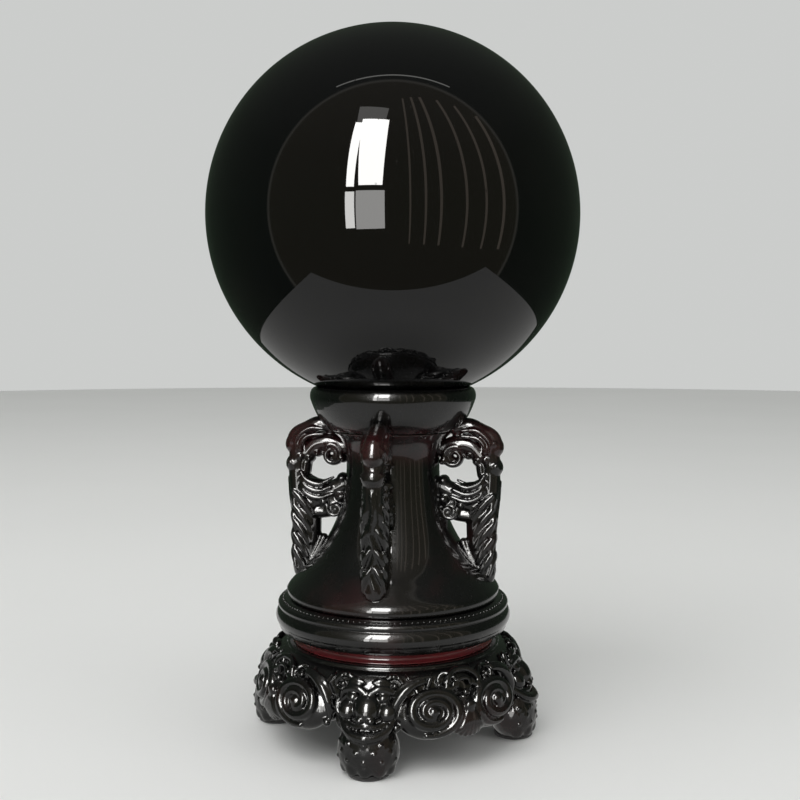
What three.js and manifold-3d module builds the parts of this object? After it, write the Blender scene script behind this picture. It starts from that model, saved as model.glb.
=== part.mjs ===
// Crystal ball on a four-footed scroll stand.
// Millimetres, +Z up, front towards -Y, origin on the resting surface under the ball's centre.
import * as THREE from "three";
import { mergeVertices } from "three/addons/utils/BufferGeometryUtils.js";
import Module from "manifold-3d";

const wasm = await Module();
wasm.setup();

// Driving dimensions
const BALL_RADIUS = 40;
const TOTAL_HEIGHT = 152;
const BALL_CENTRE_Z = TOTAL_HEIGHT - BALL_RADIUS;
const GAP = 0.3;
const BORE_RADIUS = 2.3;

// Heights of the turned pieces, from the floor up
const CROWN_UNDERSIDE_Z = 12.3;
const CROWN_TOP_Z = 20.3;
const WAIST_TOP_Z = 22.5;
const RING_BOTTOM_Z = WAIST_TOP_Z + GAP;
const RING_TOP_Z = 29.8;
const NECK_BOTTOM_Z = RING_TOP_Z + GAP;
const NECK_TOP_Z = 65.9;
const CUP_BOTTOM_Z = NECK_TOP_Z + GAP;
const WELL_FLOOR_Z = 67.3;
const LIP_ROLL_Z = 73.6;
const LIP_ROLL_WIDTH = 1.25;
const LIP_ROLL_HEIGHT = 1.9;

// Groove that holds the seat ring, and the sloping wall down to the well
const GROOVE_INNER_RADIUS = 14.1;
const GROOVE_OUTER_RADIUS = 16.85;
const GROOVE_RIM_Z = 75;
const GROOVE_FLOOR_Z = 72.4;
const WELL_SHOULDER = [13.6, 70.4];
const WELL_RADIUS = 11.6;

// Outer silhouettes of the turned pieces, as pairs of radius and height
const SKIRT_EDGE_RADIUS = 23.3;
const NECK_FLARE = [
  [23.3, 32],
  [19.8, 35.6],
  [15.8, 40.2],
  [12.8, 45.6],
  [10.6, 52],
  [10.2, 60.8],
  [13.5, 65.9],
];
const CUP_FLARE = [[13.9, 66.2], [16.3, 68.9], [17.5, 71.4]];
const CROWN_DOME = [[25.6, 12.3], [26.7, 15], [25.2, 18.9], [22.9, 20.3]];
const CROWN_EDGE_RADIUS = 22.9;
const CROWN_FOOT_RADIUS = 25.6;
const RING_OGEE = [[22.6, 22.8], [24, 23], [24.9, 23.7]];
const RING_ROLL = { radius: 23.3, height: 25.7, size: 2.4 };
const RING_BEAD = { radius: 24.3, height: 28.6, size: 0.8 };
const RING_LAND_RADIUS = 23.4;
const WAIST_HOLLOW_RADIUS = 21.5;
const WAIST_FOOT_RADIUS = 22;
const WAIST_HEAD_RADIUS = 21.9;
const WAIST_HOLLOW_Z = [21.3, 21.8];

// Seat ring: round section that the ball touches along a circle
const SEAT_CONTACT_RADIUS = 15;
const SEAT_SECTION_RADIUS = 1.1;
const SEAT_CLEARANCE = 0.1;

// Cup spigot, its socket in the neck, and the threaded insert
const SPIGOT_RADIUS = 6;
const SPIGOT_BOTTOM_Z = 60;
const INSERT_RADIUS = 3.4;
const INSERT_BORE_RADIUS = 2.15;
const INSERT_TOP_Z = 65.5;

// Tie rod, washer and nut
const ROD_RADIUS = 2;
const ROD_BOTTOM_Z = 10.6;
const ROD_TOP_Z = 65.2;
const NUT_POCKET_RADIUS = 6.5;
const NUT_POCKET_TOP_Z = 16;
const WASHER_RADIUS = 4.5;
const WASHER_THICKNESS = 0.8;
const NUT_CORNER_RADIUS = 4.04;
const NUT_THICKNESS = 3.2;

// Legs, feet and screws
const QUARTER_TURN = Math.PI / 2;
const FOOT_CENTRE_RADIUS = 26.6;
const PAD_RADIUS = 4.2;
const PAD_THICKNESS = 0.8;
const PAW_BOTTOM_Z = 1;
const FLOOR_CUT = 40;
const TAB_INNER_RADIUS = 14;
const TAB_OUTER_RADIUS = 25.5;
const TAB_WIDTH = 9;
const TAB_BOTTOM_Z = 8.2;
const SCREW_CENTRE_RADIUS = 19;
const SCREW_SHANK_RADIUS = 1.1;
const SCREW_HEAD_RADIUS = 2.2;
const SCREW_HEAD_Z = 8.4;
const SCREW_TIP_Z = 17.2;
const SCREW_HEAD_DEPTH = 1.2;
const SCREW_POINT = 1.4;

// Rounded lumps of one leg: [half depth, half width, half height, radius, sideways, height]
const MASK_LUMP = [4.2, 6.1, 5.2, 24.9, 0, 12.6];
const NOSE_LUMP = [2.2, 2.3, 1.9, 28.2, 0, 12.4];
const ANKLE_LUMP = [4, 4.2, 4.6, 26.6, 0, 8.6];
const PAW_LUMP = [5.4, 6, 4.6, 26.6, 0, 4.4];
const MIDDLE_TOE_LUMP = [2, 1.6, 1.8, 30.1, 0, 2.7];
const PAIRED_LUMPS = [
  [1.6, 2.1, 1.3, 27, 2.9, 15.6],
  [1.8, 1.8, 2.1, 27.8, 4.1, 11.2],
  [2, 1.6, 1.7, 29.3, 3.5, 2.6],
];

// Aprons: a pair of spiral scrolls that lean back, on a curved backing, set a little off the middle
const SCROLL_SPREAD = THREE.MathUtils.degToRad(15.5);
const SCROLL_LEAN = THREE.MathUtils.degToRad(18);
const SCROLL_HALF_WIDTH = 7.2;
const SCROLL_HEIGHT_RATIO = 0.78;
const SCROLL_CENTRE_Z = 12.9;
const SCROLL_FACE_RADIUS = 29;
const SCROLL_BACK_HALF_WIDTH = 4;
const SCROLL_DEPTH = 7;
const RIDGE_DEPTH = 0.7;
const APRON_TURN = THREE.MathUtils.degToRad(-3);
const BACKING_HALF_ANGLE = THREE.MathUtils.degToRad(25);
const BACKING_INNER_RADIUS = 21;
const BACKING_OUTER_RADIUS = 26;
const BACKING_BOTTOM_Z = 8.4;
const BACKING_TOP_Z = 13.3;
const SHELL_LUMP = [4.2, 3.4, 5, 26.2, 0, 11.2];

// Scroll brackets
const BRACKET_THICKNESS = 5.4;
const BRACKET_EDGE = 0.7;
const PIN_RADIUS = 0.8;
const PIN_LENGTH = 6.4;
const SIDE_PIN_Z = 51;
const SIDE_PIN_INNER_RADIUS = 8;
const SKIRT_PIN_RADIUS = 19.8;
const SKIRT_PIN_BOTTOM_Z = 32.3;
const CORE_CUT_RADIUS = 24;
const BORE_OVERSHOOT = 1;

const ROUND_STEPS = 24;

// Colours and finishes
const finishes = {
  glass: { color: 0x060507, roughness: 0.05, metalness: 0 },
  lacquer: { color: 0x120608, roughness: 0.16, metalness: 0 },
  red: { color: 0x4a0d12, roughness: 0.22, metalness: 0 },
  rubber: { color: 0x0b0b0b, roughness: 0.6, metalness: 0 },
  brass: { color: 0xb08a3c, roughness: 0.35, metalness: 1 },
  steel: { color: 0x9a9a9c, roughness: 0.35, metalness: 1 },
  felt: { color: 0x15110f, roughness: 0.95, metalness: 0 },
};

const object = new THREE.Group();

function addPiece(name, geometry, finish) {
  const mesh = new THREE.Mesh(geometry, new THREE.MeshStandardMaterial(finishes[finish]));
  mesh.name = name;
  object.add(mesh);
}

// Turns a closed or axis-to-axis profile of [radius, height] pairs about +Z.
function turned(profile, steps = ROUND_STEPS) {
  const points = profile.map(([radius, height]) => new THREE.Vector2(radius, height));
  return new THREE.LatheGeometry(points, steps).rotateX(QUARTER_TURN);
}

function ring(innerRadius, outerRadius, bottom, top, steps = ROUND_STEPS) {
  const foot = [[innerRadius, bottom], [outerRadius, bottom]];
  const head = [[outerRadius, top], [innerRadius, top]];
  return turned([...foot, ...head, foot[0]], steps);
}

function rod(radius, bottom, top, steps) {
  return turned([[0, bottom], [radius, bottom], [radius, top], [0, top]], steps);
}

function ellipsoid(halfWidth, halfDepth, halfHeight, x, y, z, steps = 8) {
  const sphere = new THREE.SphereGeometry(1, steps, Math.ceil(steps * 0.6));
  return sphere.rotateX(QUARTER_TURN).scale(halfWidth, halfDepth, halfHeight).translate(x, y, z);
}

function solidOf(geometry) {
  const plain = geometry.clone();
  plain.deleteAttribute("normal");
  plain.deleteAttribute("uv");
  const merged = mergeVertices(plain, 1e-4);
  const vertProperties = new Float32Array(merged.attributes.position.array);
  const triVerts = new Uint32Array(merged.index.array);
  return new wasm.Manifold(new wasm.Mesh({ numProp: 3, vertProperties, triVerts }));
}

function geometryOf(solid) {
  const mesh = solid.getMesh();
  const geometry = new THREE.BufferGeometry();
  geometry.setAttribute("position", new THREE.BufferAttribute(mesh.vertProperties, 3));
  geometry.setIndex(new THREE.BufferAttribute(mesh.triVerts, 1));
  return geometry;
}

function join(geometries) {
  return geometries.map(solidOf).reduce((whole, next) => whole.add(next));
}

function cut(solid, geometries) {
  return geometries.map(solidOf).reduce((rest, next) => rest.subtract(next), solid);
}

// A smooth stretch of profile through a few [radius, height] pairs.
function smoothProfile(pairs, divisions) {
  const knots = pairs.map(([radius, height]) => new THREE.Vector2(radius, height));
  const curve = new THREE.SplineCurve(knots);
  return curve.getPoints(divisions).map((point) => [point.x, point.y]);
}

function arcProfile(centreRadius, centreHeight, radius, startDegrees, endDegrees, divisions) {
  return Array.from({ length: divisions + 1 }, (_, step) => {
    const degrees = startDegrees + ((endDegrees - startDegrees) * step) / divisions;
    const angle = THREE.MathUtils.degToRad(degrees);
    return [centreRadius + radius * Math.cos(angle), centreHeight + radius * Math.sin(angle)];
  });
}

function closed(profile) {
  return [...profile, profile[0]];
}

function offset(profile, amount) {
  return profile.map(([radius, height]) => [radius + amount, height]);
}

// Outer silhouettes that two or more pieces share
const neckFlare = smoothProfile(NECK_FLARE, 11);
const cupFlare = smoothProfile(CUP_FLARE, 3);
const crownDome = smoothProfile(CROWN_DOME, 7);

// Ball and seat ring
function seatRingProfile() {
  const reach = BALL_RADIUS + SEAT_SECTION_RADIUS + SEAT_CLEARANCE;
  const lean = Math.asin(SEAT_CONTACT_RADIUS / BALL_RADIUS);
  const centreRadius = reach * Math.sin(lean);
  const centreZ = BALL_CENTRE_Z - reach * Math.cos(lean);
  const section = arcProfile(centreRadius, centreZ, SEAT_SECTION_RADIUS, -180, 180, 8);
  section[section.length - 1] = section[0];
  return section;
}

const ball = new THREE.SphereGeometry(BALL_RADIUS, 32, 18);
addPiece("ball", ball.rotateX(QUARTER_TURN).translate(0, 0, BALL_CENTRE_Z), "glass");
addPiece("seat_ring", turned(seatRingProfile()), "rubber");

// Cup with its well, ring groove, rounded lip and spigot
const lipRoll = arcProfile(0, 0, 1, -20, 90, 5).map(([out, up]) => [
  GROOVE_OUTER_RADIUS + LIP_ROLL_WIDTH * out,
  LIP_ROLL_Z + LIP_ROLL_HEIGHT * up,
]);
const cupProfile = [
  [0, INSERT_TOP_Z + GAP],
  [INSERT_RADIUS + GAP, INSERT_TOP_Z + GAP],
  [INSERT_RADIUS + GAP, SPIGOT_BOTTOM_Z],
  [SPIGOT_RADIUS, SPIGOT_BOTTOM_Z],
  [SPIGOT_RADIUS, CUP_BOTTOM_Z],
  ...cupFlare,
  ...lipRoll,
  [GROOVE_OUTER_RADIUS, GROOVE_RIM_Z],
  [GROOVE_OUTER_RADIUS, GROOVE_FLOOR_Z],
  [GROOVE_INNER_RADIUS, GROOVE_FLOOR_Z],
  WELL_SHOULDER,
  [WELL_RADIUS, WELL_FLOOR_Z],
  [0, WELL_FLOOR_Z],
];
addPiece("cup_rim", turned(cupProfile), "lacquer");

// Pins of one bracket, drawn for the bracket that points along +X
function sidePin(radius, extra) {
  const pin = rod(radius, SIDE_PIN_INNER_RADIUS - extra, SIDE_PIN_INNER_RADIUS + PIN_LENGTH + extra, 8);
  return pin.rotateY(QUARTER_TURN).translate(0, 0, SIDE_PIN_Z);
}

function skirtPin(radius, extra) {
  const pin = rod(radius, SKIRT_PIN_BOTTOM_Z - extra, SKIRT_PIN_BOTTOM_Z + PIN_LENGTH + extra, 8);
  return pin.translate(SKIRT_PIN_RADIUS, 0, 0);
}

const SIDES = { right: 0, back: 1, left: 2, front: 3 };

// Neck: flared column with a socket for the cup, a bore for the rod and eight pin holes
const neckProfile = closed([
  [BORE_RADIUS, NECK_BOTTOM_Z],
  [SKIRT_EDGE_RADIUS, NECK_BOTTOM_Z],
  ...neckFlare,
  [SPIGOT_RADIUS + GAP, NECK_TOP_Z],
  [SPIGOT_RADIUS + GAP, SPIGOT_BOTTOM_Z - GAP],
  [BORE_RADIUS, SPIGOT_BOTTOM_Z - GAP],
]);
const pinHoles = Object.values(SIDES).flatMap((turns) =>
  [sidePin(PIN_RADIUS + GAP, GAP), skirtPin(PIN_RADIUS + GAP, GAP)].map((hole) =>
    hole.rotateZ(turns * QUARTER_TURN),
  ),
);
addPiece("neck", geometryOf(cut(solidOf(turned(neckProfile)), pinHoles)), "lacquer");

// Bracket: flat openwork plate whose outline is drawn in radius and height
function bracketShape() {
  const shape = new THREE.Shape();
  shape.moveTo(8, 47.2);
  shape.quadraticCurveTo(13.5, 49.5, 15.4, 46.2);
  shape.quadraticCurveTo(16.6, 42.5, 15.2, 38.6);
  shape.lineTo(17.2, 32.5);
  shape.lineTo(22.2, 32.5);
  shape.quadraticCurveTo(21, 42, 22.1, 48.5);
  shape.quadraticCurveTo(24.2, 55, 23, 59.5);
  shape.quadraticCurveTo(25.6, 62.6, 22.6, 65.2);
  shape.quadraticCurveTo(19.6, 67.4, 15.4, 69.8);
  shape.lineTo(9, 66.4);
  shape.lineTo(9, 61);
  shape.quadraticCurveTo(12.4, 58.4, 14.6, 60.6);
  shape.quadraticCurveTo(18.6, 61.2, 18.7, 57.9);
  shape.quadraticCurveTo(18.4, 54.8, 14.6, 55.2);
  shape.quadraticCurveTo(12.6, 56.2, 8, 55.2);
  shape.closePath();
  return shape;
}

function bracketPlate() {
  const plate = new THREE.ExtrudeGeometry(bracketShape(), {
    depth: BRACKET_THICKNESS - 2 * BRACKET_EDGE,
    bevelEnabled: true,
    bevelSize: BRACKET_EDGE,
    bevelThickness: BRACKET_EDGE,
    bevelOffset: -BRACKET_EDGE,
    bevelSegments: 1,
    curveSegments: 3,
  });
  return plate.translate(0, 0, BRACKET_EDGE - BRACKET_THICKNESS / 2).rotateX(QUARTER_TURN);
}

const coreCutter = turned([
  [0, NECK_BOTTOM_Z - GAP],
  [CORE_CUT_RADIUS, NECK_BOTTOM_Z - GAP],
  ...offset([...neckFlare, ...cupFlare], GAP),
  [0, GROOVE_FLOOR_Z],
]);
const bracketHoles = [sidePin(PIN_RADIUS + GAP, GAP), skirtPin(PIN_RADIUS + GAP, GAP)];
const bracket = geometryOf(cut(solidOf(bracketPlate()), [coreCutter, ...bracketHoles]));

for (const [side, turns] of Object.entries(SIDES)) {
  const turn = turns * QUARTER_TURN;
  addPiece(`bracket_${side}`, bracket.clone().rotateZ(turn), "lacquer");
  addPiece(`bracket_pin_upper_${side}`, sidePin(PIN_RADIUS, 0).rotateZ(turn), "steel");
  addPiece(`bracket_pin_lower_${side}`, skirtPin(PIN_RADIUS, 0).rotateZ(turn), "steel");
}

// Ring moulding: ogee underside, a full roll, a fine bead over it and a flat land
const ringProfile = closed([
  [BORE_RADIUS, RING_BOTTOM_Z],
  ...smoothProfile(RING_OGEE, 2),
  ...arcProfile(RING_ROLL.radius, RING_ROLL.height, RING_ROLL.size, -35, 50, 5),
  ...arcProfile(RING_BEAD.radius, RING_BEAD.height, RING_BEAD.size, -40, 75, 4),
  [RING_LAND_RADIUS, RING_TOP_Z],
  [BORE_RADIUS, RING_TOP_Z],
]);
addPiece("ring_moulding", turned(ringProfile), "lacquer");

// Waist ring: shallow hollow band
const waistProfile = closed([
  [BORE_RADIUS, CROWN_TOP_Z + GAP],
  [WAIST_FOOT_RADIUS, CROWN_TOP_Z + GAP],
  ...WAIST_HOLLOW_Z.map((height) => [WAIST_HOLLOW_RADIUS, height]),
  [WAIST_HEAD_RADIUS, WAIST_TOP_Z],
  [BORE_RADIUS, WAIST_TOP_Z],
]);
addPiece("waist_ring", turned(waistProfile), "red");

// Base crown: dome with a nut pocket and four pilot holes underneath
const crownProfile = closed([
  [BORE_RADIUS, NUT_POCKET_TOP_Z],
  [NUT_POCKET_RADIUS, NUT_POCKET_TOP_Z],
  [NUT_POCKET_RADIUS, CROWN_UNDERSIDE_Z],
  ...crownDome,
  [BORE_RADIUS, CROWN_TOP_Z],
]);

function legScrew(growth) {
  const profile = [
    [0, SCREW_HEAD_Z - growth],
    [SCREW_HEAD_RADIUS + growth, SCREW_HEAD_Z - growth],
    [SCREW_SHANK_RADIUS + growth, SCREW_HEAD_Z + SCREW_HEAD_DEPTH],
    [SCREW_SHANK_RADIUS + growth, SCREW_TIP_Z - SCREW_POINT],
    [0, SCREW_TIP_Z + growth],
  ];
  return turned(profile, 8).translate(SCREW_CENTRE_RADIUS, 0, 0);
}

const screwHoles = Object.values(SIDES).map((turns) => legScrew(GAP).rotateZ(turns * QUARTER_TURN));
addPiece("base_crown", geometryOf(cut(solidOf(turned(crownProfile)), screwHoles)), "lacquer");

const crownCutter = turned([
  [0, CROWN_UNDERSIDE_Z - GAP],
  [CROWN_FOOT_RADIUS + GAP, CROWN_UNDERSIDE_Z - GAP],
  ...offset(crownDome, GAP),
  [CROWN_EDGE_RADIUS + GAP, CROWN_TOP_Z + GAP],
  [0, CROWN_TOP_Z + GAP],
]);

// Leg pointing along +X: tab, beast mask, ankle and clawed paw
function legSolid() {
  const tab = new THREE.BoxGeometry(
    TAB_OUTER_RADIUS - TAB_INNER_RADIUS,
    TAB_WIDTH,
    CROWN_UNDERSIDE_Z - TAB_BOTTOM_Z,
  );
  tab.translate(
    (TAB_OUTER_RADIUS + TAB_INNER_RADIUS) / 2,
    0,
    (CROWN_UNDERSIDE_Z + TAB_BOTTOM_Z) / 2,
  );
  const mirrored = [-1, 1].flatMap((side) =>
    PAIRED_LUMPS.map(([depth, width, height, x, y, z]) =>
      ellipsoid(depth, width, height, x, side * y, z),
    ),
  );
  const pieces = [
    tab,
    ellipsoid(...MASK_LUMP, 10),
    ellipsoid(...NOSE_LUMP),
    ellipsoid(...ANKLE_LUMP),
    ellipsoid(...PAW_LUMP, 10),
    ellipsoid(...MIDDLE_TOE_LUMP),
    ...mirrored,
  ];
  const floorCutter = new THREE.BoxGeometry(FLOOR_CUT, FLOOR_CUT, FLOOR_CUT);
  floorCutter.translate(FOOT_CENTRE_RADIUS, 0, PAW_BOTTOM_Z - FLOOR_CUT / 2);
  return cut(join(pieces), [crownCutter, floorCutter, legScrew(GAP)]);
}

const leg = geometryOf(legSolid());
for (const [side, turns] of Object.entries(SIDES)) {
  const turn = turns * QUARTER_TURN;
  const pad = rod(PAD_RADIUS, 0, PAD_THICKNESS, 12).translate(FOOT_CENTRE_RADIUS, 0, 0);
  addPiece(`leg_${side}`, leg.clone().rotateZ(turn), "lacquer");
  addPiece(`leg_screw_${side}`, legScrew(0).rotateZ(turn), "brass");
  addPiece(`foot_pad_${side}`, pad.rotateZ(turn), "felt");
}

// Scroll disc whose face leans back from +X, with two raised rings and a raised eye
function scrollDisc() {
  const edge = SCROLL_HALF_WIDTH;
  const profile = [
    [0, -SCROLL_DEPTH],
    [SCROLL_BACK_HALF_WIDTH, -SCROLL_DEPTH],
    [edge, -1.3],
    [edge - 1, 0],
    [edge - 2, -RIDGE_DEPTH],
    [edge - 3.4, 0],
    [2.4, -RIDGE_DEPTH],
    [0, RIDGE_DEPTH],
  ];
  const disc = turned(profile, 14).rotateY(QUARTER_TURN).scale(1, 1, SCROLL_HEIGHT_RATIO);
  return disc.rotateY(-SCROLL_LEAN).translate(SCROLL_FACE_RADIUS, 0, SCROLL_CENTRE_Z);
}

// Curved backing that carries the two scrolls under the crown
function apronBacking() {
  const shape = new THREE.Shape();
  shape.absarc(0, 0, BACKING_OUTER_RADIUS, -BACKING_HALF_ANGLE, BACKING_HALF_ANGLE, false);
  shape.absarc(0, 0, BACKING_INNER_RADIUS, BACKING_HALF_ANGLE, -BACKING_HALF_ANGLE, true);
  shape.closePath();
  const depth = BACKING_TOP_Z - BACKING_BOTTOM_Z;
  const plate = new THREE.ExtrudeGeometry(shape, { depth, bevelEnabled: false, curveSegments: 5 });
  return plate.translate(0, 0, BACKING_BOTTOM_Z);
}

function apronSolid() {
  const scrolls = [-1, 1].map((side) => scrollDisc().rotateZ(side * SCROLL_SPREAD));
  return cut(join([...scrolls, ellipsoid(...SHELL_LUMP, 10), apronBacking()]), [crownCutter]);
}

const apron = geometryOf(apronSolid());
const APRONS = { back_right: 0.5, back_left: 1.5, front_left: 2.5, front_right: 3.5 };
for (const [corner, turns] of Object.entries(APRONS)) {
  addPiece(`apron_${corner}`, apron.clone().rotateZ(turns * QUARTER_TURN + APRON_TURN), "lacquer");
}

// Tie rod with its insert, washer and nut
const washerTop = NUT_POCKET_TOP_Z - GAP;
const washerBottom = washerTop - WASHER_THICKNESS;
const nutTop = washerBottom - GAP;
const nutBottom = nutTop - NUT_THICKNESS;
addPiece("tie_rod", rod(ROD_RADIUS, ROD_BOTTOM_Z, ROD_TOP_Z, 12), "steel");
addPiece(
  "rod_insert",
  ring(INSERT_BORE_RADIUS, INSERT_RADIUS, SPIGOT_BOTTOM_Z + GAP, INSERT_TOP_Z, 12),
  "brass",
);
addPiece("rod_washer", ring(BORE_RADIUS, WASHER_RADIUS, washerBottom, washerTop, 16), "steel");
const nutBlank = rod(NUT_CORNER_RADIUS, nutBottom, nutTop, 6);
const nutBore = rod(INSERT_BORE_RADIUS, nutBottom - BORE_OVERSHOOT, nutTop + BORE_OVERSHOOT, 12);
addPiece("rod_nut", geometryOf(cut(solidOf(nutBlank), [nutBore])), "steel");

export default object;
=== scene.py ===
"""Near-black polished ball on a carved, lacquered stand with four paw feet."""

from __future__ import annotations

import logging
import math
from collections.abc import Callable, Iterable, Sequence
from dataclasses import dataclass, field
from enum import Enum

import bmesh
import bpy
from mathutils import Matrix, Vector


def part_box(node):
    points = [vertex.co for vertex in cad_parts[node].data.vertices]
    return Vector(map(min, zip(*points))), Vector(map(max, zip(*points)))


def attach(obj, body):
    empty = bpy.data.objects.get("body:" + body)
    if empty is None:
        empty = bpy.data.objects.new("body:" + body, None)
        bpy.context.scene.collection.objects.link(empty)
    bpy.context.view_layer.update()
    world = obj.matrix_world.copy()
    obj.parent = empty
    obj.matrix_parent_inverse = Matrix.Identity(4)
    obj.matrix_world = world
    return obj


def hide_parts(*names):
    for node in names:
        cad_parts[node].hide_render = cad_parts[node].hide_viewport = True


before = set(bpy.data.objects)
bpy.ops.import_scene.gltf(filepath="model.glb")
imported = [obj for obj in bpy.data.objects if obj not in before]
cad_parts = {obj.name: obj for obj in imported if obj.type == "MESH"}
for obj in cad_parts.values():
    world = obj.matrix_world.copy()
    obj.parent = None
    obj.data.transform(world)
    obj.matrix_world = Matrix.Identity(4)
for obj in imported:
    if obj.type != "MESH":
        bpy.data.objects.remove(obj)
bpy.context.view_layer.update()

LOG = logging.getLogger("crystal_ball")
MM = 0.001
QUARTER = math.pi / 2
APRON_OFFSET = math.radians(-3)
ROD_BORE = 2.3
WHITE = (1, 1, 1)

Pair = tuple[float, float]
Triple = tuple[float, float, float]
Colour = tuple[float, float, float, float]
Stops = tuple[tuple[float, Colour], ...]
Width = Callable[[float], float]


class Spot(Enum):
    """Places of a repeated piece, in quarter turns about the upright axis from +X."""

    @property
    def label(self) -> str:
        """The place as it stands in node names."""
        return self.name.lower()

    @property
    def turn(self) -> Matrix:
        """Rotation from +X to this place."""
        return Matrix.Rotation(self.value * QUARTER, 4, "Z")


class Side(Spot):
    """Places of the brackets, legs and pads."""

    RIGHT = 0
    BACK = 1
    LEFT = 2
    FRONT = 3


class Corner(Spot):
    """Places of the aprons, before the small offset that they all share."""

    BACK_RIGHT = 0.5
    BACK_LEFT = 1.5
    FRONT_LEFT = 2.5
    FRONT_RIGHT = 3.5

    @property
    def turn(self) -> Matrix:
        """Rotation from +X to this corner."""
        return Matrix.Rotation(self.value * QUARTER + APRON_OFFSET, 4, "Z")


# ---------------------------------------------------------------- lines


def smooth_line(knots: Sequence[Sequence[float]], steps: int = 6) -> list[Vector]:
    """Runs a smooth line through its knots.

    Args:
        knots: Points that the line passes through, all of one dimension.
        steps: Points on each stretch between two knots.

    Returns:
        The line's points, first and last knot included.
    """
    points = [Vector(knot) for knot in knots]
    padded = [2 * points[0] - points[1], *points, 2 * points[-1] - points[-2]]
    line: list[Vector] = []
    for before, start, end, after in zip(padded, padded[1:], padded[2:], padded[3:]):
        for step in range(steps):
            t = step / steps
            square = (2 * before - 5 * start + 4 * end - after) * t**2
            cube = (3 * start - before - 3 * end + after) * t**3
            line.append(0.5 * (2 * start + (end - before) * t + square + cube))
    line.append(points[-1])
    return line


def arc(centre: Pair, radius: float, start: float, end: float, steps: int = 8) -> list[Pair]:
    """Points on an arc of a profile.

    Args:
        centre: The arc's centre, as radius and height.
        radius: The arc's radius.
        start: First angle in degrees, from straight outwards.
        end: Last angle in degrees.
        steps: Stretches that the arc is cut into.

    Returns:
        Pairs of radius and height.
    """
    angles = [math.radians(start + (end - start) * step / steps) for step in range(steps + 1)]
    return [(centre[0] + radius * math.cos(a), centre[1] + radius * math.sin(a)) for a in angles]


def spiral(centre: Pair, start: float, sweep: float, shrink: float, core: float, steps: int) -> list[Pair]:
    """Points of a spiral that winds inwards.

    Args:
        centre: The spiral's centre, across and up.
        start: First angle in degrees.
        sweep: Degrees that it winds through, below 0 for clockwise.
        shrink: How much smaller its radius is at the end than at the start.
        core: Its radius at the end.
        steps: Stretches that it is cut into.

    Returns:
        Pairs of across and up.
    """
    points = []
    for step in range(steps + 1):
        share = step / steps
        turn = math.radians(start + sweep * share)
        size = shrink * (1 - share) + core
        points.append((centre[0] + size * math.cos(turn), centre[1] + size * math.sin(turn)))
    return points


def polar(angle: float, radius: float, height: float) -> Vector:
    """A point at an angle in degrees round the upright axis."""
    turn = math.radians(angle)
    return Vector((radius * math.cos(turn), radius * math.sin(turn), height))


def pairs(line: Iterable[Vector]) -> list[Pair]:
    """Radius and height of each point of a profile line."""
    return [(point.x, point.y) for point in line]


def even(size: float) -> Width:
    """Width that stays the same along a rope."""
    return lambda t: size


def taper(start: float, end: float) -> Width:
    """Width that goes evenly from one size to another."""
    return lambda t: start + (end - start) * t


def leaf(tip: float, belly: float) -> Width:
    """Width that goes from a tip to a belly and back."""
    return lambda t: tip + (belly - tip) * math.sin(math.pi * t)


def swell(start: float, belly: float, end: float) -> Width:
    """Width that grows quickly from its start and then thins slowly to its end.

    Args:
        start: Width at the start.
        belly: Width at the widest place, a ninth of the way along.
        end: Width at the end.

    Returns:
        The width at each share of the way.
    """
    grown = 0.11
    growing = taper(start, belly)
    thinning = taper(belly, end)
    return lambda t: growing(t / grown) if t < grown else thinning((t - grown) / (1 - grown))


# ---------------------------------------------------------------- modelling


def facing_y(point: Vector) -> Vector:
    """Flat pieces in the radius and height plane lie square to Y."""
    return Vector((0, 1, 0))


def facing_out(point: Vector) -> Vector:
    """Pieces laid on a round wall face away from the upright axis."""
    return Vector((point.x, point.y, 0)).normalized()


def only(kind: type, parts: Iterable[object]) -> list:
    """The corners, the edges or the faces among a shape's parts."""
    return [part for part in parts if isinstance(part, kind)]


def mesh_of(shape: bmesh.types.BMesh) -> bpy.types.Mesh:
    """Turns a finished bmesh into a mesh with its faces outwards.

    Args:
        shape: The bmesh, which is freed.

    Returns:
        The mesh.
    """
    bmesh.ops.recalc_face_normals(shape, faces=shape.faces)
    mesh = bpy.data.meshes.new("skin")
    shape.to_mesh(mesh)
    shape.free()
    return mesh


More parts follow.
